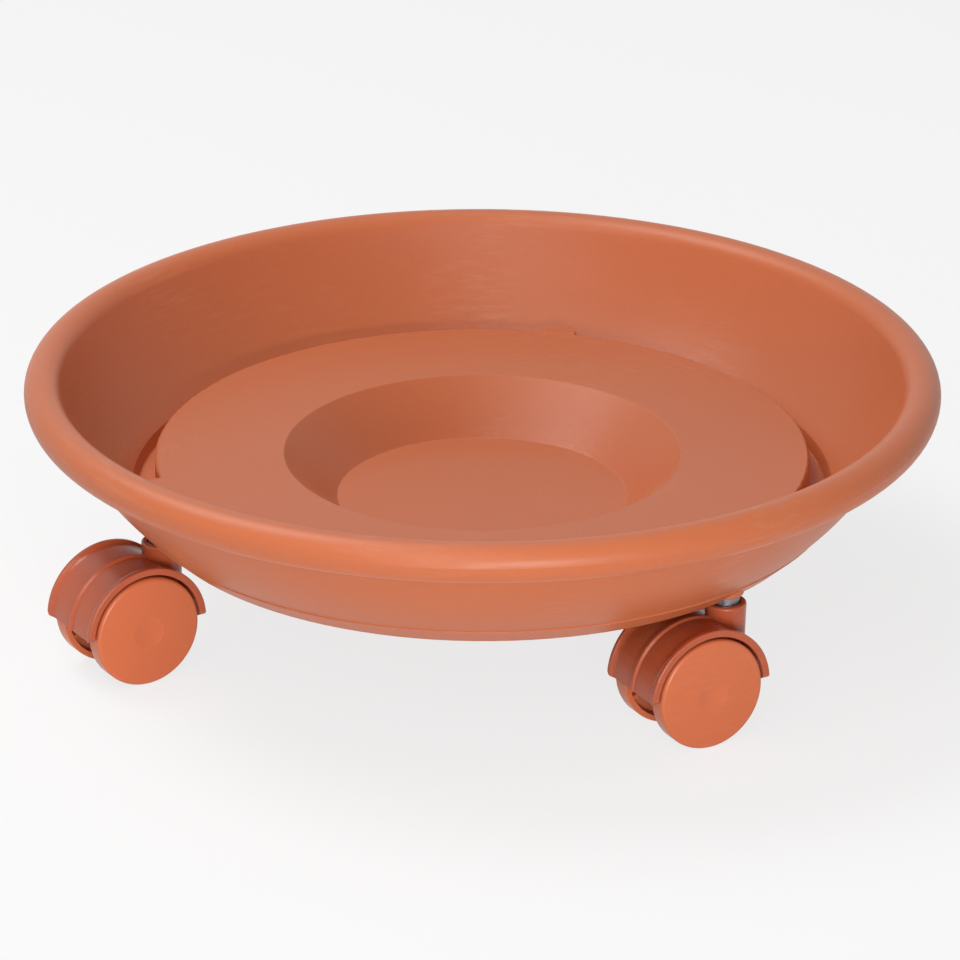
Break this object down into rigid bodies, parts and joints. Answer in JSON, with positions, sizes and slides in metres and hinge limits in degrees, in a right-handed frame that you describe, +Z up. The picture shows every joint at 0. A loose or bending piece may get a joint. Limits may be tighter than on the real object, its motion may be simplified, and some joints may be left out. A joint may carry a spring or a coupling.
{
  "type": "plant caddy",
  "caption": "Round saucer-shaped plant stand with a rolled rim, raised floor and central well, rolling on swivelling twin-wheel casters",
  "frame": {"origin": "on the floor under the centre of the saucer", "axes": "+Z up; -Y is the front, towards the camera of the reference picture; the rear caster is on +Y"},
  "size_m": [0.322, 0.322, 0.0994],
  "materials": {
    "saucer_plastic": "moulded terracotta plastic, satin",
    "caster_plastic": "moulded terracotta plastic, satin",
    "wheel_plastic": "moulded terracotta plastic, smooth",
    "steel": "turned, zinc plated",
    "spring_steel": "pressed spring steel"
  },
  "bodies": {
    "saucer": {"saucer": "saucer_plastic", "front_right_stem": "steel", "front_right_grip_ring": "spring_steel", "front_right_stem_clip": "spring_steel", "rear_stem": "steel", "rear_grip_ring": "spring_steel", "rear_stem_clip": "spring_steel", "front_left_stem": "steel", "front_left_grip_ring": "spring_steel", "front_left_stem_clip": "spring_steel"},
    "front_right_caster": {"front_right_hood": "caster_plastic", "front_right_axle": "steel"},
    "front_right_outer_wheel_body": {"front_right_outer_wheel": "wheel_plastic"},
    "front_right_inner_wheel_body": {"front_right_inner_wheel": "wheel_plastic"},
    "rear_caster": {"rear_hood": "caster_plastic", "rear_axle": "steel"},
    "rear_outer_wheel_body": {"rear_outer_wheel": "wheel_plastic"},
    "rear_inner_wheel_body": {"rear_inner_wheel": "wheel_plastic"},
    "front_left_caster": {"front_left_hood": "caster_plastic", "front_left_axle": "steel"},
    "front_left_outer_wheel_body": {"front_left_outer_wheel": "wheel_plastic"},
    "front_left_inner_wheel_body": {"front_left_inner_wheel": "wheel_plastic"}
  },
  "joints": [
    {"name": "front_right_swivel", "type": "hinge", "parent": "saucer", "child": "front_right_caster", "pos_m": [0.10089, -0.05825, 0.045], "axis": [0, 0, 1], "continuous": true},
    {"name": "front_right_outer_wheel_spin", "type": "hinge", "parent": "front_right_caster", "child": "front_right_outer_wheel_body", "pos_m": [0.09046, -0.06832, 0.02], "axis": [0.6947, -0.7193, 0], "continuous": true},
    {"name": "front_right_inner_wheel_spin", "type": "hinge", "parent": "front_right_caster", "child": "front_right_inner_wheel_body", "pos_m": [0.09046, -0.06832, 0.02], "axis": [0.6947, -0.7193, 0], "continuous": true},
    {"name": "rear_swivel", "type": "hinge", "parent": "saucer", "child": "rear_caster", "pos_m": [0, 0.1165, 0.045], "axis": [0, 0, 1], "continuous": true},
    {"name": "rear_outer_wheel_spin", "type": "hinge", "parent": "rear_caster", "child": "rear_outer_wheel_body", "pos_m": [-0.01025, 0.10625, 0.02], "axis": [0.7071, -0.7071, 0], "continuous": true},
    {"name": "rear_inner_wheel_spin", "type": "hinge", "parent": "rear_caster", "child": "rear_inner_wheel_body", "pos_m": [-0.01025, 0.10625, 0.02], "axis": [0.7071, -0.7071, 0], "continuous": true},
    {"name": "front_left_swivel", "type": "hinge", "parent": "saucer", "child": "front_left_caster", "pos_m": [-0.10089, -0.05825, 0.045], "axis": [0, 0, 1], "continuous": true},
    {"name": "front_left_outer_wheel_spin", "type": "hinge", "parent": "front_left_caster", "child": "front_left_outer_wheel_body", "pos_m": [-0.11087, -0.06877, 0.02], "axis": [0.7254, -0.6884, 0], "continuous": true},
    {"name": "front_left_inner_wheel_spin", "type": "hinge", "parent": "front_left_caster", "child": "front_left_inner_wheel_body", "pos_m": [-0.11087, -0.06877, 0.02], "axis": [0.7254, -0.6884, 0], "continuous": true}
  ]
}
